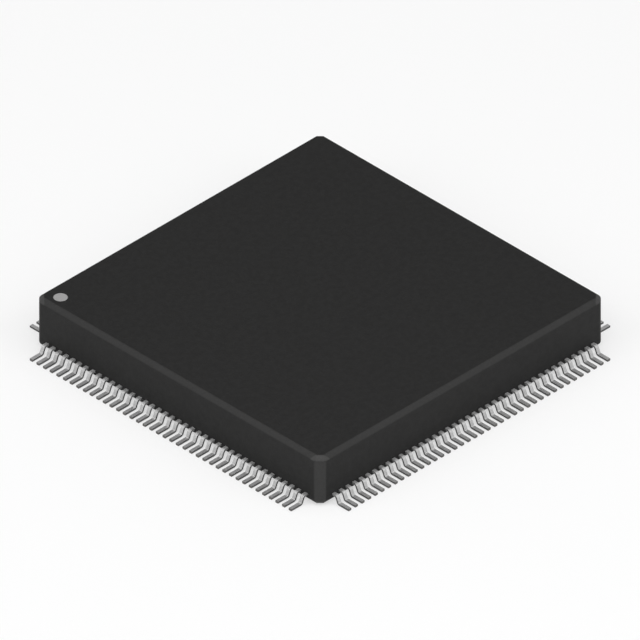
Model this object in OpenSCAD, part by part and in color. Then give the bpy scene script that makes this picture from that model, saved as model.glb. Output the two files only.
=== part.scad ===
// Plastic quad flat package with gull-wing leads on all four sides, in millimetres.
// The origin is the middle of the package, on the plane that the feet stand on.

/* [Moulded body] */
// Side of the square body
body_w = 28; // [27:0.5:32]
// Thickness of the body
body_t = 4.05; // [3:0.05:4.5]
// Height of the underside above the feet
standoff = 0.05; // [0.02:0.01:0.1]
// Leg of the flat cut across each upright corner
corner_cut = 0.5; // [0.4:0.05:0.9]
// Radius between a corner flat and the walls
corner_r = 0.3; // [0.3:0.05:0.5]
// Leg of the bevel round the upper and lower faces
edge_bevel = 0.3; // [0.1:0.05:0.3]
// Radius between a bevel and the walls
edge_r = 0.3; // [0.1:0.05:0.35]

/* [Leads] */
// Leads on each side
lead_count = 40; // [20:4:40]
// Distance from one lead to the next
lead_pitch = 0.65; // [0.5:0.01:0.65]
// Width of a lead
lead_w = 0.29; // [0.2:0.01:0.35]
// Thickness of the lead frame strip
lead_t = 0.18; // [0.12:0.01:0.2]
// Distance from the wall to the tip of a foot
lead_reach = 1.6; // [1.4:0.05:2]
// Height of a lead's middle where it leaves the wall
exit_z = 0.65; // [0.6:0.05:1.2]
// Level run of a lead outside the wall
shoulder = 0.22; // [0.1:0.02:0.4]
// Inside radius of both bends
bend_r = 0.1; // [0.05:0.01:0.15]
// Slope of the leg below the shoulder
leg_slope = 67; // [55:1:80]

/* [Lead frame inside the body] */
// Straight run of a lead behind the wall
anchor = 0.6; // [0.3:0.05:0.7]
// Width of a finger at its tip, measured along the row
tip_w = 0.12; // [0.08:0.01:0.15]
// Gap from the paddle to the finger tips
tip_gap = 0.65; // [0.4:0.05:1.2]
// Room from the last finger tip to the tie bar's line, measured along the row
tip_room = 0.72; // [0.55:0.01:1.2]
// Margin of the paddle round the die
paddle_margin = 0.75; // [0.4:0.05:1]
// Depth of the paddle below the leads
downset = 0.16; // [0.1:0.02:0.2]
// Slope of the step in each tie bar
downset_slope = 30; // [20:5:45]
// Width of a tie bar
tie_w = 0.4; // [0.2:0.05:0.5]
// Level run of a tie bar beyond the paddle's corner
tie_level = 0.3; // [0.1:0.05:1]
// Depth of a cut tie bar's end behind the corner flat
tie_inset = 0.3; // [0.1:0.05:0.6]

/* [Lead tape] */
// Width of the tape that holds the fingers
tape_w = 1.2; // [0.8:0.1:2]
// Thickness of the tape
tape_t = 0.06; // [0.04:0.01:0.1]
// Distance from the finger tips to the tape
tape_setback = 3.2; // [1:0.1:4]

/* [Die] */
// Side of the square die
die_w = 8; // [7:0.25:9]
// Thickness of the die
die_t = 0.4; // [0.2:0.05:0.5]
// Thickness of the adhesive under the die
attach_t = 0.03; // [0.02:0.01:0.05]
// Spread of the adhesive beyond the die
attach_margin = 0.2; // [0.05:0.05:0.35]

/* [Bond wires] */
// Thickness of a wire
wire_t = 0.03; // [0.02:0.005:0.04]
// Diameter of the ball on the die
ball_d = 0.08; // [0.06:0.01:0.1]
// Height of the ball
ball_h = 0.02; // [0.01:0.005:0.03]
// Distance from the die's edge to the balls
pad_inset = 0.12; // [0.08:0.01:0.2]
// Distance from the die's corner to the last ball, measured along the row
pad_room = 0.3; // [0.25:0.05:0.6]
// Upright run of a wire above its ball
wire_rise = 0.1; // [0.05:0.01:0.2]
// Inside radius of a wire's bends
wire_bend_r = 0.06; // [0.04:0.01:0.1]
// Flat end of a wire on its finger
stitch = 0.1; // [0.06:0.01:0.2]
// Distance from a finger's tip to the end of its wire
stitch_inset = 0.3; // [0.2:0.05:0.5]

/* [Marks] */
// Diameter of the pin one dot
dot_d = 1.04; // [0.6:0.02:1.6]
// Distance from the dot's middle to the west wall
dot_west = 1.2; // [1.1:0.05:3]
// Distance from the dot's middle to the north wall
dot_north = 1.4; // [1.1:0.05:3]
// Depth of the dot's recess
dot_depth = 0.06; // [0.05:0.01:0.1]
// Thickness of the ink in the recess
ink_t = 0.04; // [0.02:0.01:0.05]
// Diameter of the ejector pin marks in the underside
ejector_d = 2.4; // [1:0.1:3]
// Depth of the ejector pin marks
ejector_depth = 0.05; // [0.03:0.01:0.1]
// Distance from an ejector mark's middle to the two nearest walls
ejector_inset = 6; // [4:0.25:9]

/* [Hidden] */
$fn = 32;
// Distance that cuts run out past a surface
CUT = 0.1;
// Each side's leads and wires are drawn in equal blocks
SIDES = ["west", "south", "east", "north"];
BLOCKS = 4;
LEAD_NODES = [for (side = SIDES) [for (b = [1:BLOCKS]) str(side, "_leads_", b)]];
WIRE_NODES = [for (side = SIDES) [for (b = [1:BLOCKS]) str(side, "_wires_", b)]];

half_w = body_w / 2;
top_z = standoff + body_t;

// Heights of the lead frame and of what lies on it
frame_z = exit_z - lead_t / 2;
frame_top = frame_z + lead_t;
paddle_z = frame_z - downset;
attach_z = paddle_z + lead_t;
die_z = attach_z + attach_t;
die_top = die_z + die_t;

// Plan of the lead frame, as distances from the middle of the package
paddle_w = die_w + 2 * paddle_margin;
tip_r = paddle_w / 2 + tip_gap;
anchor_r = half_w - anchor;
tape_r = tip_r + tape_setback;
corner_flat_r = (body_w - corner_cut) / sqrt(2);
pad_r = die_w / 2 - pad_inset;
landing_r = tip_r + stitch_inset;

// Each row of tips and of balls spreads evenly between the tie bars
gaps = lead_count - 1;
tip_pitch = 2 * (tip_r - tip_room) / gaps;
pad_pitch = 2 * (die_w / 2 - pad_room) / gaps;
block_size = lead_count / BLOCKS;

function along_row(i, pitch) = (i - gaps / 2) * pitch;
function block_leads(b) = [b * block_size:(b + 1) * block_size - 1];

// Length of the slope between two equal bends that lower or raise a strip by step
function slope_run(step, angle, mid_r) = (step - 2 * mid_r * (1 - cos(angle))) / sin(angle);

// Level distance that two equal bends and the slope between them cover
function step_run(step, angle, mid_r) =
    2 * mid_r * sin(angle) + slope_run(step, angle, mid_r) * cos(angle);

// Distance from a corner of 45 degrees to where a blend of radius r meets its side
function blend_run(r) = r * tan(45 / 2);

// Turns the row that faces +X to one of the four sides, counter-clockwise from pin one
module on_side(side)
    rotate(180 + 90 * side)
        children();

// Sector of a ring of thickness t and inside radius r, in which a strip turns by an angle about the origin
module bend(t, r, angle) {
    far = 2 * (r + t);
    wedge = [for (k = [0:3]) far * [sin(abs(angle) * k / 3), -sign(angle) * cos(angle * k / 3)]];
    intersection() {
        difference() {
            circle(r + t);
            circle(r);
        }
        polygon(concat([[0, 0]], wedge));
    }
}

// Side view of a bent strip, drawn along its underside: each move is [length], or [inside radius, angle]
// with the angle positive for a turn to the left
module bent_strip(t, moves, i = 0) {
    if (i < len(moves)) {
        move = moves[i];
        if (len(move) == 1) {
            square([move[0], t]);
            translate([move[0], 0])
                bent_strip(t, moves, i + 1);
        } else {
            way = sign(move[1]);
            under_r = way > 0 ? move[0] + t : move[0];
            translate([0, way * under_r])
                bend(t, move[0], move[1]);
            translate([under_r * sin(abs(move[1])), way * under_r * (1 - cos(move[1]))])
                rotate(move[1])
                    bent_strip(t, moves, i + 1);
        }
    }
}

// Stands a side view upright along +X and gives it its width
module strip_of_width(w)
    rotate([90, 0, 0])
        linear_extrude(w, center = true)
            children();

// Square plate about the Z axis, its underside at z
module plate(w, t, z)
    translate([0, 0, z])
        linear_extrude(t)
            square(w, center = true);

// Post as wide as a corner radius, with the bevels and blends of the block's edges turned on its ends
module corner_post() {
    blend = edge_bevel + blend_run(edge_r);
    angles = [for (a = [0:360 / $fn:45]) a];
    arc = [for (a = angles) [corner_r - edge_r * (1 - cos(a)), edge_r * sin(a)]];
    upper = [for (p = arc) [p[0], top_z - blend + p[1]]];
    lower = [for (k = [len(arc) - 1:-1:0]) [arc[k][0], standoff + blend - arc[k][1]]];
    rotate_extrude()
        polygon(concat(
            [[0, top_z], [0, standoff], [corner_r - edge_bevel, standoff]],
            lower,
            upper,
            [[corner_r - edge_bevel, top_z]]
        ));
}

// Block of the body: its corner flats and bevels blend into the walls round eight posts
module mould_block() {
    near = half_w - corner_r;
    far = half_w - corner_cut - blend_run(corner_r);
    hull()
        for (quarter = [0:90:270], place = [[near, far], [far, near]])
            rotate(quarter)
                translate(place)
                    corner_post();
}

// Part of lead i inside the wall of the side that faces +X, run out past the wall by extra
module finger(i, extra = 0) {
    u = along_row(i, lead_pitch);
    tip_u = along_row(i, tip_pitch);
    translate([0, 0, frame_z])
        linear_extrude(lead_t)
            polygon([
                [half_w + extra, u + lead_w / 2],
                [anchor_r, u + lead_w / 2],
                [tip_r, tip_u + tip_w / 2],
                [tip_r, tip_u - tip_w / 2],
                [anchor_r, u - lead_w / 2],
                [half_w + extra, u - lead_w / 2]
            ]);
}

// Shoulder, leg and foot outside the wall at x = 0
module gull_wing() {
    mid_r = bend_r + lead_t / 2;
    foot = lead_reach - shoulder - step_run(frame_z, leg_slope, mid_r);
    translate([0, 0, frame_z])
        strip_of_width(lead_w)
            bent_strip(lead_t, [
                [shoulder],
                [bend_r, -leg_slope],
                [slope_run(frame_z, leg_slope, mid_r)],
                [bend_r, leg_slope],
                [foot]
            ]);
}

module lead_block(side, b)
    color("silver")
        on_side(side)
            for (i = block_leads(b)) {
                finger(i);
                translate([half_w, along_row(i, lead_pitch), 0])
                    gull_wing();
            }

// Tie bar from inside the paddle's corner, up the step and out along the diagonal
module tie_bar() {
    mid_r = bend_r + lead_t / 2;
    start = paddle_w / sqrt(2) - tie_w;
    level = tie_w + tie_level;
    step = step_run(downset, downset_slope, mid_r);
    translate([start, 0, paddle_z])
        strip_of_width(tie_w)
            bent_strip(lead_t, [
                [level],
                [bend_r, downset_slope],
                [slope_run(downset, downset_slope, mid_r)],
                [bend_r, -downset_slope],
                [corner_flat_r - tie_inset - start - level - step]
            ]);
}

module die_paddle()
    color("darkgoldenrod") {
        plate(paddle_w, lead_t, paddle_z);
        for (side = [0:3])
            on_side(side)
                rotate(45)
                    tie_bar();
    }

module die_attach()
    color("lightgray")
        plate(die_w + 2 * attach_margin, attach_t, attach_z);

module silicon_die()
    color("slategray")
        plate(die_w, die_t, die_z);

// Ring of tape across the fingers and tie bars
module lead_tape()
    color("peru")
        translate([0, 0, frame_top])
            linear_extrude(tape_t)
                difference() {
                    square(2 * (tape_r + tape_w), center = true);
                    square(2 * tape_r, center = true);
                }

// Wire that lies flat on a finger from x = 0, climbs back over and drops into its ball at a distance
module bond_wire(reach) {
    mid_r = wire_bend_r + wire_t / 2;
    across = reach - stitch - mid_r;
    climb = die_top + ball_h + wire_rise - frame_top - wire_t - wire_bend_r;
    slope = atan2(climb, across) + asin(2 * mid_r / norm([across, climb]));
    translate([0, 0, frame_top])
        strip_of_width(wire_t)
            bent_strip(wire_t, [
                [stitch],
                [wire_bend_r, slope],
                [(across - 2 * mid_r * sin(slope)) / cos(slope)],
                [wire_bend_r, -90 - slope],
                [wire_rise + ball_h / 2]
            ]);
    translate([reach, 0, die_top])
        cylinder(h = ball_h, d = ball_d);
}

module wire_block(side, b)
    color("gold")
        on_side(side)
            for (i = block_leads(b)) {
                tip_u = along_row(i, tip_pitch);
                pad = [pad_r, along_row(i, pad_pitch)];
                fan = (along_row(i, lead_pitch) - tip_u) / (anchor_r - tip_r);
                landing = [landing_r, tip_u + stitch_inset * fan];
                way = pad - landing;
                translate(landing)
                    rotate(atan2(way[1], way[0]))
                        bond_wire(norm(way));
            }

module dot_place()
    translate([dot_west - half_w, half_w - dot_north, top_z - dot_depth])
        children();

module pin_one_dot()
    color("darkgray")
        dot_place()
            cylinder(h = ink_t, d = dot_d);

// Block with the channel of every lead through its walls
module channelled_block()
    difference() {
        mould_block();
        for (side = [0:3])
            on_side(side)
                for (i = [0:gaps])
                    finger(i, CUT);
    }

// Body moulded round everything inside it, with the dot's recess and the ejector marks
module mould_body() {
    eject_r = half_w - ejector_inset;
    color("#2f2f2f")
        difference() {
            channelled_block();
            die_paddle();
            die_attach();
            silicon_die();
            lead_tape();
            for (side = [0:3], b = [0:BLOCKS - 1])
                wire_block(side, b);
            dot_place()
                cylinder(h = dot_depth + CUT, d = dot_d);
            for (x = [-eject_r, eject_r], y = [-eject_r, eject_r])
                translate([x, y, standoff - CUT])
                    cylinder(h = CUT + ejector_depth, d = ejector_d);
        }
}

mould_body();
pin_one_dot();
die_paddle();
die_attach();
silicon_die();
lead_tape();
for (side = [0:3], b = [0:BLOCKS - 1]) {
    lead_block(side, b);
    wire_block(side, b);
}
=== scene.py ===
import math

import bmesh
import bpy
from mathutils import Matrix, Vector


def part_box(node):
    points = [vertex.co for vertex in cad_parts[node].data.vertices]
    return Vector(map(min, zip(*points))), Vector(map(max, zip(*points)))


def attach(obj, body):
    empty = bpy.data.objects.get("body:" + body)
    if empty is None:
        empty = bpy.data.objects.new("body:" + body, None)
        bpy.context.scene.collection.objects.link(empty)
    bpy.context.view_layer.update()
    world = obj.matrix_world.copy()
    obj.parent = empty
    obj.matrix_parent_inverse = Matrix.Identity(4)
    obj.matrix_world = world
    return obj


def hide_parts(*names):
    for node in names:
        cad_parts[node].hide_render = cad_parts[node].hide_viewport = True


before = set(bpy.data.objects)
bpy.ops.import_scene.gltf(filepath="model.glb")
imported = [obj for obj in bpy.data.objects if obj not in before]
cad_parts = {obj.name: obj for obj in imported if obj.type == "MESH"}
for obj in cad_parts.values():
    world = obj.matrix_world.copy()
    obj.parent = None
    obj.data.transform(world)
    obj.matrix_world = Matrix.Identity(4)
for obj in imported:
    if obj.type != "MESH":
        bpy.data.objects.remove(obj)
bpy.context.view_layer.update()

MM = 0.001
QUARTER = math.pi / 2
EIGHTH = math.pi / 4

# What the drawing shows: an isometric view with no perspective, 44.3 mm from edge to edge
VIEW_BACK = Vector((-1, -1, 1)).normalized()
VIEW_SIZE = 44.306 * MM
VIEW_MIDDLE = Vector((0, 0, 2.04 * MM))

# The body, its pin one dot and the lead frame's upper side, from the frame
body_low, body_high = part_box("mould_body")
half_w = body_high.x
top_z = body_high.z
under_z = body_low.z
dot_low, dot_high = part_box("pin_one_dot")
dot_middle = (dot_low + dot_high) / 2
dot_r = (dot_high.x - dot_low.x) / 2
frame_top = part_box("lead_tape")[0].z

# The rows of leads: the first two blocks of the west side give pitches and widths
SIDES = ("west", "south", "east", "north")
BLOCKS = 4
LEADS_PER_SIDE = 40
block_leads = LEADS_PER_SIDE / BLOCKS
row_half = (LEADS_PER_SIDE - 1) / 2
first_low, first_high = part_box("west_leads_1")
second_low, second_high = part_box("west_leads_2")
lead_pitch = (first_high.y - second_high.y) / block_leads
lead_w = 2 * (first_high.y - row_half * lead_pitch)
tip_pitch = (first_low.y - second_low.y) / block_leads
tip_w = tip_pitch - 2 * second_low.y
tip_r = -first_high.x
lead_end = -first_low.x

# Sizes of a lead and of the body's edges that no box gives, as in the part's source
LEAD_T = 0.18 * MM
SHOULDER = 0.22 * MM
BEND_R = 0.1 * MM
LEG_SLOPE = math.radians(67)
ANCHOR = 0.6 * MM
CORNER_CUT = 0.5 * MM
CORNER_R = 0.3 * MM
EDGE_BEVEL = 0.3 * MM
EDGE_R = 0.3 * MM
DOT_DEPTH = 0.06 * MM
EJECTOR_D = 2.4 * MM
EJECTOR_DEPTH = 0.05 * MM
EJECTOR_INSET = 6 * MM
exit_z = frame_top - LEAD_T / 2
corner_flat_r = (2 * half_w - CORNER_CUT) / math.sqrt(2)

# Finer sizes, shares and step counts that only the looks need
ROLLED_EDGE = 0.035 * MM
TIP_CHAMFER = 0.02 * MM
TIP_SHRINK = 0.16
FACE_ROUND = 0.07 * MM
PARTING_STEP = 0.012 * MM
RIM_ROUND = 0.02 * MM
INK_ROLL_W = 0.06 * MM
INK_ROLL_H = 0.032 * MM
RIM_STEPS = 3
INK_STEPS = 6

# Edges sharper than these angles stay sharp: those of the body and the dot, then those of the leads
BODY_CREASE = math.radians(35)
LEAD_CREASE = math.radians(50)

# A lead's faces that look sideways by more than this share are its sheared sides
SHEARED_FACING = 0.8

# The studio round the chip, in metres
FLOOR_REACH = 1.5
FLOOR_DROP = 0.002 * MM
LIGHT_DISTANCE = 0.35
EYE_DISTANCE = 0.2


class Value:
    """One output of a node. Arithmetic on it adds the Math nodes that work it out."""

    def __init__(self, sheet, socket):
        self.sheet = sheet
        self.socket = socket

    def maths(self, operation, *fed):
        return self.sheet.add("ShaderNodeMath", {"operation": operation}, dict(enumerate(fed)))

    def __add__(self, other):
        return self.maths("ADD", self, other)

    __radd__ = __add__

    def __sub__(self, other):
        return self.maths("SUBTRACT", self, other)

    def __rsub__(self, other):
        return self.maths("SUBTRACT", other, self)

    def __mul__(self, other):
        return self.maths("MULTIPLY", self, other)

    __rmul__ = __mul__

    def __truediv__(self, other):
        return self.maths("DIVIDE", self, other)

    def __rtruediv__(self, other):
        return self.maths("DIVIDE", other, self)

    def __abs__(self):
        return self.maths("ABSOLUTE", self)

    def __gt__(self, other):
        return self.maths("GREATER_THAN", self, other)

    def __lt__(self, other):
        return self.maths("LESS_THAN", self, other)

    def floor(self):
        return self.maths("FLOOR", self)

    def fraction(self):
        return self.maths("FRACT", self)

    def tangent(self):
        return self.maths("TANGENT", self)

    def larger(self, other):
        return self.maths("MAXIMUM", self, other)

    def smaller(self, other):
        return self.maths("MINIMUM", self, other)

    def rise(self, start, end):
        """0 up to start, 1 from end on, and smooth between them."""
        return self.sheet.add(
            "ShaderNodeMapRange",
            {"interpolation_type": "SMOOTHSTEP"},
            {"Value": self, "From Min": start, "From Max": end},
        )


class NodeSheet:
    """A node tree, for shaders or for geometry, that nodes are added to one call at a time."""

    def __init__(self, tree):
        self.tree = tree

    def node(self, kind, settings=None, inputs=None):
        """Adds a node with its settings, then its inputs' values or links."""
        node = self.tree.nodes.new(kind)
        for name, setting in (settings or {}).items():
            if name == "items":
                for _ in range(setting - len(node.index_switch_items)):
                    node.index_switch_items.new()
            else:
                setattr(node, name, setting)
        for key, fed in (inputs or {}).items():
            self.feed(node.inputs[key], fed)
        return node

    def add(self, kind, settings=None, inputs=None, out=0):
        """Adds a node in the same way, and returns one of its outputs."""
        return Value(self, self.node(kind, settings, inputs).outputs[out])

    def feed(self, socket, fed):
        if isinstance(fed, Value):
            self.tree.links.new(fed.socket, socket)
        else:
            socket.default_value = fed

    def split(self, vector):
        """The three parts of a vector."""
        node = self.node("ShaderNodeSeparateXYZ", None, {0: vector})
        return [Value(self, part) for part in node.outputs]

    def vector(self, x=0.0, y=0.0, z=0.0):
        return self.add("ShaderNodeCombineXYZ", None, {0: x, 1: y, 2: z})

    def blend(self, share, first, second):
        """The second colour over the first one, by share."""
        return self.add("ShaderNodeMix", {"data_type": "RGBA"}, {0: share, 6: first, 7: second}, 2)


class Finish(NodeSheet):
    """A material on one Principled shader, with its patterns on Object coordinates."""

    def __init__(self, name, **constants):
        self.material = bpy.data.materials.new(name)
        self.material.use_nodes = True
        super().__init__(self.material.node_tree)
        self.shader = self.tree.nodes["Principled BSDF"]
        for socket, value in constants.items():
            self.shader.inputs[socket.replace("_", " ")].default_value = value
        self.place = self.add("ShaderNodeTexCoord", out="Object")

    def noise(self, per_mm, detail, place=None):
        """Noise from 0 to 1 with so many grains to the millimetre."""
        inputs = {"Vector": place or self.place, "Scale": per_mm / MM, "Detail": detail}
        return self.add("ShaderNodeTexNoise", None, inputs)

    def attribute(self, name):
        """A number that the mesh carries by name."""
        return self.add("ShaderNodeAttribute", {"attribute_name": name}, out="Fac")

    def cells(self, per_mm):
        """Rounded cells, so many to the millimetre, as the distance from each one's middle."""
        inputs = {"Vector": self.place, "Scale": per_mm / MM}
        return self.add("ShaderNodeTexVoronoi", None, inputs, "Distance")

    def tiles(self, x, y, size):
        """A random number from 0 to 1 for each tile of a grid, its size given as width and depth."""
        width, depth = size
        tile = self.vector((x / width).floor(), (y / depth).floor())
        return self.add("ShaderNodeTexWhiteNoise", None, {"Vector": tile})

    def paint(self, height=None, depth=0.0, **outputs):
        """Feeds what varies to the shader, and a height map of so many metres to its bump."""
        for socket, value in outputs.items():
            self.feed(self.shader.inputs[socket.replace("_", " ")], value)
        if height is not None:
            bump = self.add("ShaderNodeBump", None, {"Height": height, "Distance": depth})
            self.feed(self.shader.inputs["Normal"], bump)
        return self.material


def grey(level, warm=0.0):
    """A linear colour of that level, a little warmer or cooler."""
    return (level * (1 + warm), level, level * (1 - warm), 1)


def moulded_epoxy():
    """Black mould compound: matte from its eroded mould, with pale filler grains; its edges and corners
    are painted lighter, partly as rubbed wear and partly as painted highlight.
    """
    finish = Finish("moulded_epoxy", Specular_IOR_Level=0.25)
    matte = grey(0.008, 0.02)
    satin = grey(0.013, 0.01)
    filler_grey = grey(0.05)
    # Lighter greys for the edges and corners: partly rubbed wear, partly painted highlight
    edge_wear_and_highlight_grey = grey(0.032, 0.01)
    corner_wear_and_highlight_grey = grey(0.065, 0.01)
    bevel_fade = 0.1 * MM
    flat_fade = 0.12 * MM
    texture_depth = 0.012 * MM
    upper_edge = half_w + top_z - EDGE_BEVEL
    lower_edge = half_w - under_z - EDGE_BEVEL
    corner_edge = half_w - EDGE_BEVEL
    x, y, z = finish.split(finish.place)
    flat = (abs(x) + abs(y)) / math.sqrt(2) + (half_w - corner_flat_r)
    around = abs(x).larger(abs(y)).larger(flat)
    upper_bevel = (around + z).rise(upper_edge - bevel_fade, upper_edge)
    lower_bevel = (around - z).rise(lower_edge - bevel_fade, lower_edge)
    bevels = upper_bevel.larger(lower_bevel)
    corners = flat.rise(corner_edge - bevel_fade, corner_edge)
    upright = flat.rise(half_w - flat_fade, half_w)
    clouds = finish.noise(0.18, 3)
    grain = finish.noise(7, 2)
    fine = finish.noise(24, 2)
    patches = finish.noise(2.4, 3)
    filler = 1 - finish.cells(9).rise(0.1, 0.22)
    # Bevels and corner flats are painted lighter, partly as rubbed wear and partly as painted highlight
    # of lit edges; the upper corners get more painted highlight
    edge_wear_and_highlight = bevels.larger(upright * 0.65) * (0.45 + 0.5 * grain)
    corner_wear_and_highlight = corners * bevels.larger(upright * 0.5) * (0.3 + 0.4 * grain)
    base = finish.blend(clouds * 0.4 + patches.rise(0.3, 0.7) * 0.6, matte, satin)
    base = finish.blend(filler * 0.22, base, filler_grey)
    # Painted highlight mixed with rubbed wear on the edges, then on the corners
    base = finish.blend(edge_wear_and_highlight, base, edge_wear_and_highlight_grey)
    base = finish.blend(corner_wear_and_highlight, base, corner_wear_and_highlight_grey)
    rough = 0.66 + (clouds - 0.5) * 0.12 + (grain - 0.5) * 0.1 - edge_wear_and_highlight * 0.1
    height = grain * 0.6 + fine * 0.3 + clouds * 0.4
    return finish.paint(height, texture_depth, Base_Color=base, Roughness=rough)


def tin_plate():
    """Lead finish: matte tin outside the body, bare copper inside it and silver on the bonding tips."""
    finish = Finish("tin_plate", Metallic=0.72)
    dull_tin = grey(0.48, 0.005)
    bright_tin = grey(0.59, -0.004)
    # Dark grey for the sideways faces: partly the sheared edges' duller finish, partly painted shade
    # between the leads
    sheared_and_shaded_grey = grey(0.06, 0.01)
    trimmed_grey = grey(0.1, 0.05)
    dark_copper = (0.62, 0.27, 0.16, 1)
    pale_copper = (0.72, 0.36, 0.23, 1)
    silver = grey(0.72)
    silver_end = tip_r + 1.5 * MM
    silver_fade = 0.06 * MM
    plating_fade = 0.04 * MM
    trim_start = 0.012 * MM
    trim_full = 0.004 * MM
    bend_start = half_w + 0.15 * MM
    bend_end = half_w + 0.4 * MM
    relief = 0.004 * MM
    x, y, z = finish.split(finish.place)
    out = abs(x).larger(abs(y))
    across = abs(x).smaller(abs(y))
    lines = finish.noise(16, 2, finish.vector(out * 0.12, across, z))
    crystals = finish.cells(30)
    clouds = finish.noise(1.4, 2)
    tone, sheared, depth = [finish.attribute(name) for name in ("tone", "sheared", "depth")]
    torn = sheared * (1 - depth.rise(0.3, 0.5))
    outside = out.rise(half_w - plating_fade, half_w)
    silvered = 1 - out.rise(silver_end, silver_end + silver_fade)
    cut_end = out.rise(lead_end - trim_start, lead_end - trim_full)
    side_shade_reach = out.rise(bend_start, bend_end)
    tin = finish.blend(clouds * 0.5 + tone * 0.5, dull_tin, bright_tin)
    # Sideways faces painted dark, partly as sheared finish and partly as painted shade between the
    # leads, with less of it near the body
    tin = finish.blend(sheared * (0.3 + 0.6 * side_shade_reach) + torn * 0.08, tin, sheared_and_shaded_grey)
    tin = finish.blend(cut_end * 0.9, tin, trimmed_grey)
    copper = finish.blend(lines, dark_copper, pale_copper)
    inner = finish.blend(silvered, copper, silver)
    base = finish.blend(outside, inner, tin)
    rough = 0.38 + lines * 0.12 + clouds * 0.08 + cut_end * 0.15 + torn * 0.2
    height = lines * 0.5 + crystals * 0.4 + torn * crystals
    return finish.paint(height, relief, Base_Color=base, Roughness=rough)


def marking_ink():
    """Pale grey marking ink: thin, a little mottled, with small pits."""
    finish = Finish("marking_ink")
    thin_ink = grey(0.27, 0.01)
    full_ink = grey(0.34, 0.01)
    pit_grey = grey(0.12)
    relief = 0.006 * MM
    mottle = finish.noise(3.2, 3)
    pits = 1 - finish.cells(11).rise(0.05, 0.16)
    base = finish.blend(mottle, thin_ink, full_ink)
    base = finish.blend(pits * 0.3, base, pit_grey)
    rough = 0.5 + mottle * 0.2
    return finish.paint(mottle - pits * 0.5, relief, Base_Color=base, Roughness=rough)


def copper_strip():
    """Rolled copper of the lead frame, faintly browned, with rolling lines."""
    finish = Finish("copper_strip", Metallic=1.0)
    dark_copper = (0.6, 0.26, 0.15, 1)
    pale_copper = (0.74, 0.38, 0.25, 1)
    brown = (0.32, 0.13, 0.07, 1)
    relief = 0.004 * MM
    x, y, z = finish.split(finish.place)
    lines = finish.noise(9, 3, finish.vector(x * 0.06, y, z))
    stain = finish.noise(0.5, 4)
    base = finish.blend(lines, dark_copper, pale_copper)
    base = finish.blend(stain.rise(0.5, 0.75) * 0.5, base, brown)
    rough = 0.28 + stain * 0.25
    return finish.paint(lines, relief, Base_Color=base, Roughness=rough)


def silver_epoxy():
    """Die attach paste: silver flakes in a grey resin."""
    finish = Finish("silver_epoxy")
    flake_grey = grey(0.6)
    resin_grey = grey(0.3, 0.02)
    relief = 0.01 * MM
    flakes = finish.cells(22)
    body = finish.noise(2, 3)
    base = finish.blend(flakes.rise(0.1, 0.5), flake_grey, resin_grey)
    metal = 1 - flakes.rise(0.1, 0.4)
    rough = 0.35 + body * 0.2
    return finish.paint(flakes + body, relief, Base_Color=base, Roughness=rough, Metallic=metal)


def silicon():
    """Silicon die: blocks of circuit under a violet-grey glassy coat, bright pads and bare sides."""
    finish = Finish("silicon", Coat_Weight=0.6, Coat_Roughness=0.05)
    dark_circuit = (0.11, 0.1, 0.14, 1)
    pale_circuit = (0.21, 0.195, 0.245, 1)
    row_grey = (0.3, 0.33, 0.36, 1)
    border_grey = (0.16, 0.15, 0.18, 1)
    pad_grey = grey(0.8)
    side_grey = grey(0.12, -0.05)
    large_block = (1.12 * MM, 0.78 * MM)
    small_block = (0.28 * MM, 0.2 * MM)
    row_pitch = 0.045 * MM
    border = 0.24 * MM
    pad_inset = 0.12 * MM
    pad_half = 0.04 * MM
    pad_share = 0.24
    row_end = 0.3 * MM
    skin = 0.001 * MM
    relief = 0.0005 * MM
    die_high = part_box("silicon_die")[1]
    half_die = die_high.x
    pad_pitch = 2 * (half_die - row_end) / (LEADS_PER_SIDE - 1)
    x, y, z = finish.split(finish.place)
    edge = half_die - abs(x).larger(abs(y))
    along = abs(x).smaller(abs(y))
    blocks = finish.tiles(x, y, large_block) * 0.6 + finish.tiles(x, y, small_block) * 0.4
    rows = (x / row_pitch).fraction()
    pad = abs((along / pad_pitch).fraction() - 0.5) < pad_share
    in_ring = abs(edge - pad_inset) < pad_half
    top = z > die_high.z - skin
    circuit = finish.blend(blocks, dark_circuit, pale_circuit)
    circuit = finish.blend(rows * 0.25, circuit, row_grey)
    circuit = finish.blend(edge < border, circuit, border_grey)
    circuit = finish.blend(pad * in_ring, circuit, pad_grey)
    base = finish.blend(top, side_grey, circuit)
    metal = 0.35 + top * 0.4
    rough = 0.16 + blocks * 0.12
    return finish.paint(rows, relief, Base_Color=base, Metallic=metal, Roughness=rough)


def amber_film():
    """Polyimide tape: glossy amber film with specks of dust in it."""
    finish = Finish("amber_film", Coat_Weight=0.4, Coat_Roughness=0.08, IOR=1.6)
    dark_amber = (0.46, 0.17, 0.02, 1)
    pale_amber = (0.6, 0.26, 0.04, 1)
    speck_brown = (0.3, 0.1, 0.012, 1)
    relief = 0.02 * MM
    waves = finish.noise(0.8, 3)
    dust = finish.noise(12, 2)
    base = finish.blend(waves, dark_amber, pale_amber)
    base = finish.blend(dust.rise(0.62, 0.72) * 0.4, base, speck_brown)
    rough = 0.2 + dust * 0.2
    return finish.paint(waves, relief, Base_Color=base, Roughness=rough)


def gold_wire():
    """Drawn gold bond wire."""
    finish = Finish("gold_wire", Metallic=1.0)
    deep_gold = (0.86, 0.58, 0.2, 1)
    pale_gold = (0.98, 0.72, 0.32, 1)
    relief = 0.001 * MM
    drawn = finish.noise(40, 2)
    base = finish.blend(drawn, deep_gold, pale_gold)
    rough = 0.14 + drawn * 0.12
    return finish.paint(drawn, relief, Base_Color=base, Roughness=rough)


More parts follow.
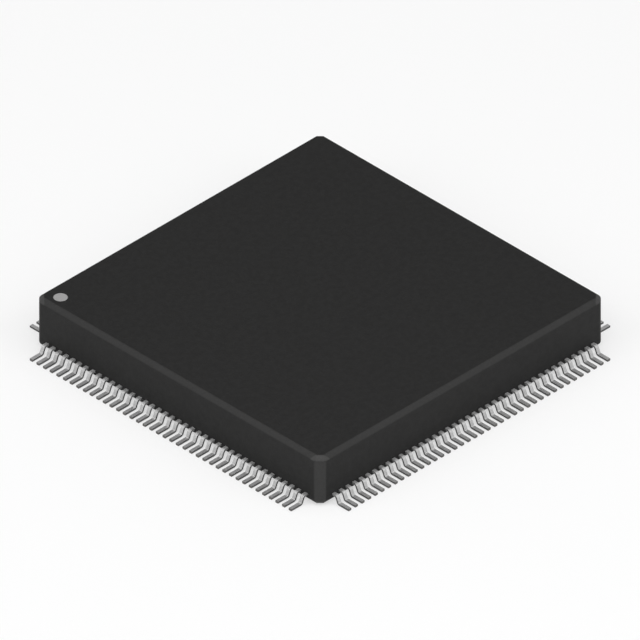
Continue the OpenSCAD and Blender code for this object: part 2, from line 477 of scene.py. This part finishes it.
def studio_floor():
    """Plain pale floor sheet, lit in part from below like a light table."""
    finish = Finish("studio_floor", Emission_Color=grey(1.0), Emission_Strength=0.55)
    fibre = finish.noise(0.02, 2)
    base = finish.blend(fibre, grey(0.385), grey(0.395))
    rough = 0.8 + fibre * 0.1
    return finish.paint(Base_Color=base, Roughness=rough)


def new_piece(name, mesh, material, slot, *nodes):
    """Puts a finished mesh in the scene as a piece that stands for CAD nodes."""
    piece = bpy.data.objects.new(name, mesh)
    bpy.context.scene.collection.objects.link(piece)
    if not mesh.materials:
        mesh.materials.append(material)
    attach(piece, "root")
    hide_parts(*nodes)
    return piece


def even_normals(piece):
    """Flat faces stay flat beside their rounded edges."""
    soften = piece.modifiers.new("even_normals", "WEIGHTED_NORMAL")
    soften.weight = 100
    soften.keep_sharp = True


class LeadTree(NodeSheet):
    """Geometry Nodes that form one lead and repeat it along the four sides."""

    SIZES = {
        "Half width": half_w,
        "Lead end": lead_end,
        "Finger tip": tip_r,
        "Anchor": half_w - ANCHOR,
        "Pitch": lead_pitch,
        "Tip pitch": tip_pitch,
        "Lead width": lead_w,
        "Tip width": tip_w,
        "Thickness": LEAD_T,
        "Exit height": exit_z,
        "Shoulder": SHOULDER,
        "Bend radius": BEND_R,
        "Leg slope": LEG_SLOPE,
        "Rolled edge": ROLLED_EDGE,
        "Tip chamfer": TIP_CHAMFER,
    }
    COUNTS = {"Leads on a side": LEADS_PER_SIDE, "Bend steps": 4, "Seed": 7}

    def __init__(self, material):
        super().__init__(bpy.data.node_groups.new("gull_wing_leads", "GeometryNodeTree"))
        self.inputs = {}
        for name, value in self.SIZES.items():
            self.open_input(name, "NodeSocketFloat", value)
        for name, value in self.COUNTS.items():
            self.open_input(name, "NodeSocketInt", value)
        self.open_input("Plating", "NodeSocketMaterial", material)
        self.tree.interface.new_socket("Leads", in_out="OUTPUT", socket_type="NodeSocketGeometry")
        given = self.node("NodeGroupInput")
        self.given = {name: Value(self, given.outputs[name]) for name in self.inputs}
        self.node("NodeGroupOutput", None, {"Leads": self.rows(self.lead())})

    def open_input(self, name, kind, value):
        """Gives the tree a named input, and notes its socket with the value meant for it."""
        socket = self.tree.interface.new_socket(name, in_out="INPUT", socket_type=kind)
        self.inputs[name] = (socket, value)

    def through(self, points):
        """A line through points in the plane of a lead's side view."""
        count = len(points)
        line = self.add("GeometryNodeMeshLine", None, {"Count": count})
        curve = self.add("GeometryNodeMeshToCurve", None, {"Mesh": line})
        index = self.add("GeometryNodeInputIndex")
        fed = {"Index": index}
        fed.update({n + 1: self.vector(*point) for n, point in enumerate(points)})
        place = self.add("GeometryNodeIndexSwitch", {"data_type": "VECTOR", "items": count}, fed)
        return self.add("GeometryNodeSetPosition", None, {"Geometry": curve, "Position": place})

    def rounded(self, curve, radius, steps, first, last):
        """Fillets a curve's corners, from the first to the last one by number."""
        index = self.add("GeometryNodeInputIndex")
        chosen = (index > first - 0.5) * (index < last + 0.5)
        return self.add(
            "GeometryNodeFilletCurve",
            {"mode": "POLY"},
            {"Curve": curve, "Count": steps, "Radius": radius * chosen},
        )

    def lead(self):
        """One lead along +X: its finger, shoulder, two bends, leg and foot, swept with its section."""
        size = self.given
        middle_r = size["Bend radius"] + size["Thickness"] / 2
        slope = size["Leg slope"]
        knee = size["Half width"] + size["Shoulder"] + middle_r * (slope / 2).tangent()
        foot_z = size["Thickness"] / 2
        heel = knee + (size["Exit height"] - foot_z) / slope.tangent()
        level = size["Exit height"]
        path = self.through([
            (size["Finger tip"], 0.0, level),
            (size["Anchor"], 0.0, level),
            (knee, 0.0, level),
            (heel, 0.0, foot_z),
            (size["Lead end"] - size["Tip chamfer"], 0.0, foot_z),
            (size["Lead end"], 0.0, foot_z),
        ])
        path = self.rounded(path, middle_r, size["Bend steps"], first=2, last=3)
        ends = self.add("GeometryNodeCurveEndpointSelection", None, {"Start Size": 0, "End Size": 1})
        radius = 1 - TIP_SHRINK * ends
        path = self.add("GeometryNodeSetCurveRadius", None, {"Curve": path, "Radius": radius})
        path = self.add("GeometryNodeSetCurveNormal", {"mode": "Z_UP"}, {"Curve": path})
        section = self.add(
            "GeometryNodeCurvePrimitiveQuadrilateral",
            None,
            {"Width": size["Lead width"], "Height": size["Thickness"]},
        )
        section = self.rounded(section, size["Rolled edge"], steps=1, first=0, last=1)
        position = self.add("GeometryNodeInputPosition")
        depth = self.split(position)[1] / size["Thickness"] + 0.5
        section, _ = self.keep(section, "depth", depth, "POINT")
        strip = self.add(
            "GeometryNodeCurveToMesh", None, {"Curve": path, "Profile Curve": section, "Fill Caps": True}
        )
        normal = self.add("GeometryNodeInputNormal")
        sheared = abs(self.split(normal)[1]) > SHEARED_FACING
        strip, _ = self.keep(strip, "sheared", sheared, "FACE")
        return strip

    def keep(self, geometry, name, value, domain="INSTANCE"):
        """Notes a number by name on each lead, face or point, and gives it back as a value."""
        geometry = self.add(
            "GeometryNodeStoreNamedAttribute",
            {"data_type": "FLOAT", "domain": domain},
            {"Geometry": geometry, "Name": name, "Value": value},
        )
        kept = self.add("GeometryNodeInputNamedAttribute", {"data_type": "FLOAT"}, {"Name": name})
        return geometry, kept

    def rows(self, lead):
        """Every lead in its place, its finger fanned in to its own tip, turned to its side."""
        size = self.given
        count = size["Leads on a side"]
        points = self.add("GeometryNodePoints", None, {"Count": count * len(SIDES), "Radius": MM})
        leads = self.add("GeometryNodeInstanceOnPoints", None, {"Points": points, "Instance": lead})
        index = self.add("GeometryNodeInputIndex")
        number = (index / count).floor()
        leads, side = self.keep(leads, "side", number)
        leads, order = self.keep(leads, "order", index - number * count - (count - 1) / 2)
        shade = self.add("FunctionNodeRandomValue", {"data_type": "FLOAT"}, {"Seed": size["Seed"]}, 1)
        leads, _ = self.keep(leads, "tone", shade)
        leads = self.add("GeometryNodeRealizeInstances", None, {"Geometry": leads})
        x, y, z = self.split(self.add("GeometryNodeInputPosition"))
        inward = ((size["Anchor"] - x) / (size["Anchor"] - size["Finger tip"])).larger(0.0)
        narrowed = y * (1 + inward * (size["Tip width"] / size["Lead width"] - 1))
        fanned = order * (size["Pitch"] + inward * (size["Tip pitch"] - size["Pitch"]))
        placed = self.add(
            "ShaderNodeVectorRotate",
            {"rotation_type": "Z_AXIS"},
            {"Vector": self.vector(x, narrowed + fanned, z), "Angle": math.pi + side * QUARTER},
        )
        leads = self.add("GeometryNodeSetPosition", None, {"Geometry": leads, "Position": placed})
        angle = self.add("GeometryNodeInputMeshEdgeAngle")
        leads = self.add(
            "GeometryNodeSetShadeSmooth",
            {"domain": "EDGE"},
            {"Geometry": leads, "Shade Smooth": angle < LEAD_CREASE},
        )
        for name in ("side", "order"):
            leads = self.add("GeometryNodeRemoveAttribute", None, {"Geometry": leads, "Name": name})
        return self.add(
            "GeometryNodeSetMaterial", None, {"Geometry": leads, "Material": size["Plating"]}
        )


def gull_wing_leads(material):
    """All 160 leads as one mesh, made by their tree."""
    leads = LeadTree(material)
    maker = bpy.data.objects.new("lead_maker", bpy.data.meshes.new("lead_maker"))
    bpy.context.scene.collection.objects.link(maker)
    grow = maker.modifiers.new("leads", "NODES")
    grow.node_group = leads.tree
    for socket, value in leads.inputs.values():
        grow[socket.identifier] = value
    evaluated = maker.evaluated_get(bpy.context.evaluated_depsgraph_get())
    mesh = bpy.data.meshes.new_from_object(evaluated)
    bpy.data.objects.remove(maker)
    nodes = [f"{side}_leads_{block}" for side in SIDES for block in range(1, BLOCKS + 1)]
    even_normals(new_piece("gull_wing_leads", mesh, material, "tinned_lead", *nodes))


def plan_ring(inset, corner_steps=6):
    """Plan of the body moved in by inset: an octagon of walls and corner flats, its corners rounded."""
    rounding = max(CORNER_R - inset, FACE_ROUND)
    reach = [half_w - inset, corner_flat_r - inset]
    ring = []
    for corner in range(8):
        first = corner * EIGHTH
        second = first + EIGHTH
        near = reach[corner % 2]
        far = reach[(corner + 1) % 2]
        vertex = Vector((
            near * math.sin(second) - far * math.sin(first),
            far * math.cos(first) - near * math.cos(second),
        )) / math.sin(EIGHTH)
        normals = Vector((math.cos(first) + math.cos(second), math.sin(first) + math.sin(second)))
        centre = vertex - rounding * normals / (1 + math.cos(EIGHTH))
        for step in range(corner_steps + 1):
            angle = first + EIGHTH * step / corner_steps
            ring.append(centre + rounding * Vector((math.cos(angle), math.sin(angle))))
    return ring


def edge_profile(steps=5):
    """Rings down the body's edge, each as depth below the face and inset: round, bevel and blend."""
    face_reach = EDGE_BEVEL + FACE_ROUND * math.tan(EIGHTH / 2)
    blend_z = EDGE_BEVEL + EDGE_R * math.tan(EIGHTH / 2)
    rings = []
    for step in range(steps + 1):
        angle = 2 * EIGHTH - EIGHTH * step / steps
        rings.append((FACE_ROUND * (1 - math.sin(angle)), face_reach - FACE_ROUND * math.cos(angle)))
    for step in range(steps + 1):
        angle = EIGHTH - EIGHTH * step / steps
        rings.append((blend_z - EDGE_R * math.sin(angle), EDGE_R * (1 - math.cos(angle))))
    return rings


def body_block():
    """The moulded block: its rings from the upper face down, stepped in at the parting line."""
    rings = [(top_z - down, inset) for down, inset in edge_profile()]
    rings += [(frame_top + PARTING_STEP, 0.0), (frame_top, PARTING_STEP)]
    rings += [(frame_top - PARTING_STEP, PARTING_STEP), (frame_top - 2 * PARTING_STEP, 0.0)]
    rings += [(under_z + down, inset) for down, inset in reversed(edge_profile())]
    block = bmesh.new()
    loops = [[block.verts.new((*point, z)) for point in plan_ring(inset)] for z, inset in rings]
    for upper, lower in zip(loops, loops[1:]):
        for n in range(len(upper)):
            block.faces.new((upper[n - 1], lower[n - 1], lower[n], upper[n]))
    block.faces.new(loops[0])
    block.faces.new(reversed(loops[-1]))
    return block


def turned(bm, profile, centre, steps=64):
    """Adds a solid turned from (radius, height) points, the first and last on the axis."""
    middle_x, middle_y = centre
    ends = [bm.verts.new((middle_x, middle_y, profile[n][1])) for n in (0, -1)]
    rings = []
    for radius, height in profile[1:-1]:
        ring = []
        for step in range(steps):
            angle = math.tau * step / steps
            x = middle_x + radius * math.cos(angle)
            y = middle_y + radius * math.sin(angle)
            ring.append(bm.verts.new((x, y, height)))
        rings.append(ring)
    for n in range(steps):
        bm.faces.new((ends[0], rings[0][n], rings[0][n - 1]))
        bm.faces.new((ends[1], rings[-1][n - 1], rings[-1][n]))
        for lower, upper in zip(rings, rings[1:]):
            bm.faces.new((lower[n - 1], lower[n], upper[n], upper[n - 1]))


def recess_profile(radius, face_z, depth, way):
    """A recess's cutter: floor, wall and a rounded rim, standing proud of the face. way is 1 upwards."""
    proud = 0.1 * MM
    floor = face_z - way * depth
    profile = [(0, floor), (radius, floor)]
    for step in range(RIM_STEPS + 1):
        angle = QUARTER * step / RIM_STEPS
        profile.append((
            radius + RIM_ROUND * (1 - math.cos(angle)),
            face_z - way * RIM_ROUND * (1 - math.sin(angle)),
        ))
    profile += [(radius + RIM_ROUND, face_z + way * proud), (0, face_z + way * proud)]
    return profile if way > 0 else profile[::-1]


def finished(bm, name):
    """A bmesh's faces turned outwards and shaded smooth, as a mesh."""
    bmesh.ops.recalc_face_normals(bm, faces=bm.faces)
    mesh = bpy.data.meshes.new(name)
    bm.to_mesh(mesh)
    bm.free()
    mesh.shade_smooth()
    return mesh


def mould_body(material):
    """The body with its dot recess and the ejector pin marks cut in."""
    cutter = bmesh.new()
    turned(cutter, recess_profile(dot_r, top_z, DOT_DEPTH, 1), dot_middle[:2])
    reach = half_w - EJECTOR_INSET
    for x in (-reach, reach):
        for y in (-reach, reach):
            turned(cutter, recess_profile(EJECTOR_D / 2, under_z, EJECTOR_DEPTH, -1), (x, y))
    tool = bpy.data.objects.new("cutter", finished(cutter, "cutter"))
    block = bpy.data.objects.new("block", finished(body_block(), "block"))
    for thing in (tool, block):
        bpy.context.scene.collection.objects.link(thing)
    cut = block.modifiers.new("recesses", "BOOLEAN")
    cut.object = tool
    cut.solver = "EXACT"
    evaluated = block.evaluated_get(bpy.context.evaluated_depsgraph_get())
    mesh = bpy.data.meshes.new_from_object(evaluated)
    for thing in (tool, block):
        bpy.data.objects.remove(thing)
    mesh.materials.clear()
    mesh.set_sharp_from_angle(angle=BODY_CREASE)
    even_normals(new_piece("moulded_body", mesh, material, "mould_compound", "mould_body"))


def pin_one_dot(material):
    """Ink in the dot's recess, its edge drawn in from the wall and rolled over."""
    profile = [(0, dot_low.z), (dot_r, dot_low.z)]
    for step in range(INK_STEPS + 1):
        angle = QUARTER * step / INK_STEPS
        profile.append((
            dot_r - INK_ROLL_W * math.sin(angle),
            dot_high.z - INK_ROLL_H * (1 - math.sin(angle)) ** 2,
        ))
    profile += [(dot_r / 2, dot_high.z), (0, dot_high.z)]
    ink = bmesh.new()
    turned(ink, profile, dot_middle[:2])
    mesh = finished(ink, "marking_ink")
    mesh.set_sharp_from_angle(angle=BODY_CREASE)
    new_piece("marking_dot", mesh, material, "marking_ink", "pin_one_dot")


def finish_node(name, material):
    """Gives a CAD node that stays in view its finish."""
    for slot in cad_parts[name].material_slots:
        slot.material = material


def inner_parts():
    """What the body is moulded round: paddle, adhesive, die, tape and wires."""
    finish_node("die_paddle", copper_strip())
    finish_node("die_attach", silver_epoxy())
    finish_node("silicon_die", silicon())
    finish_node("lead_tape", amber_film())
    gold = gold_wire()
    for side in SIDES:
        for block in range(1, BLOCKS + 1):
            finish_node(f"{side}_wires_{block}", gold)


def floor():
    """A pale sheet under the feet."""
    sheet = bmesh.new()
    reach = FLOOR_REACH
    corners = [(-reach, -reach), (reach, -reach), (reach, reach), (-reach, reach)]
    sheet.faces.new([sheet.verts.new((x, y, -FLOOR_DROP)) for x, y in corners])
    mesh = finished(sheet, "floor")
    mesh.materials.append(studio_floor())
    piece = bpy.data.objects.new("floor", mesh)
    bpy.context.scene.collection.objects.link(piece)


def softbox(name, direction, size, power):
    """A square light that faces the chip from a direction."""
    light = bpy.data.lights.new(name, "AREA")
    light.shape = "SQUARE"
    light.size = size
    light.energy = power
    lamp = bpy.data.objects.new(name, light)
    back = Vector(direction).normalized()
    lamp.location = back * LIGHT_DISTANCE
    lamp.rotation_mode = "QUATERNION"
    lamp.rotation_quaternion = (-back).to_track_quat("-Z", "Y")
    bpy.context.scene.collection.objects.link(lamp)


def studio():
    """Soft light from above and all round, in a room that is paler low down and floor-pale below."""
    world = bpy.data.worlds.new("studio")
    world.use_nodes = True
    room = NodeSheet(world.node_tree)
    low_walls = grey(0.53)
    ceiling = grey(0.32)
    ground = grey(0.973)
    height = room.split(room.add("ShaderNodeTexCoord", out="Generated"))[2]
    walls = room.blend(height.rise(0.0, 0.5), low_walls, ceiling)
    level = room.blend(height > 0.0, ground, walls)
    room.feed(room.tree.nodes["Background"].inputs["Color"], level)
    bpy.context.scene.world = world
    softbox("overhead_light", (-0.15, -0.15, 1), size=0.46, power=0.68)
    softbox("left_light", (-1, 0.4, 0.8), size=0.22, power=0.31)
    softbox("right_light", (0.4, -1, 0.8), size=0.22, power=0.31)
    softbox("front_light", (-1, -1, 2), size=0.2, power=0.16)
    softbox("back_light", (1, 1, 0.35), size=0.2, power=0.03)


def camera():
    """The drawing's view."""
    lens = bpy.data.cameras.new("camera")
    lens.type = "ORTHO"
    lens.ortho_scale = VIEW_SIZE
    lens.clip_start = 0.01
    lens.clip_end = 10
    eye = bpy.data.objects.new("camera", lens)
    eye.location = VIEW_MIDDLE + VIEW_BACK * EYE_DISTANCE
    eye.rotation_mode = "QUATERNION"
    eye.rotation_quaternion = (-VIEW_BACK).to_track_quat("-Z", "Y")
    bpy.context.scene.collection.objects.link(eye)
    bpy.context.scene.camera = eye


bpy.context.scene.view_settings.view_transform = "Standard"
camera()
studio()
floor()
mould_body(moulded_epoxy())
gull_wing_leads(tin_plate())
pin_one_dot(marking_ink())
inner_parts()

bpy.context.view_layer.update()
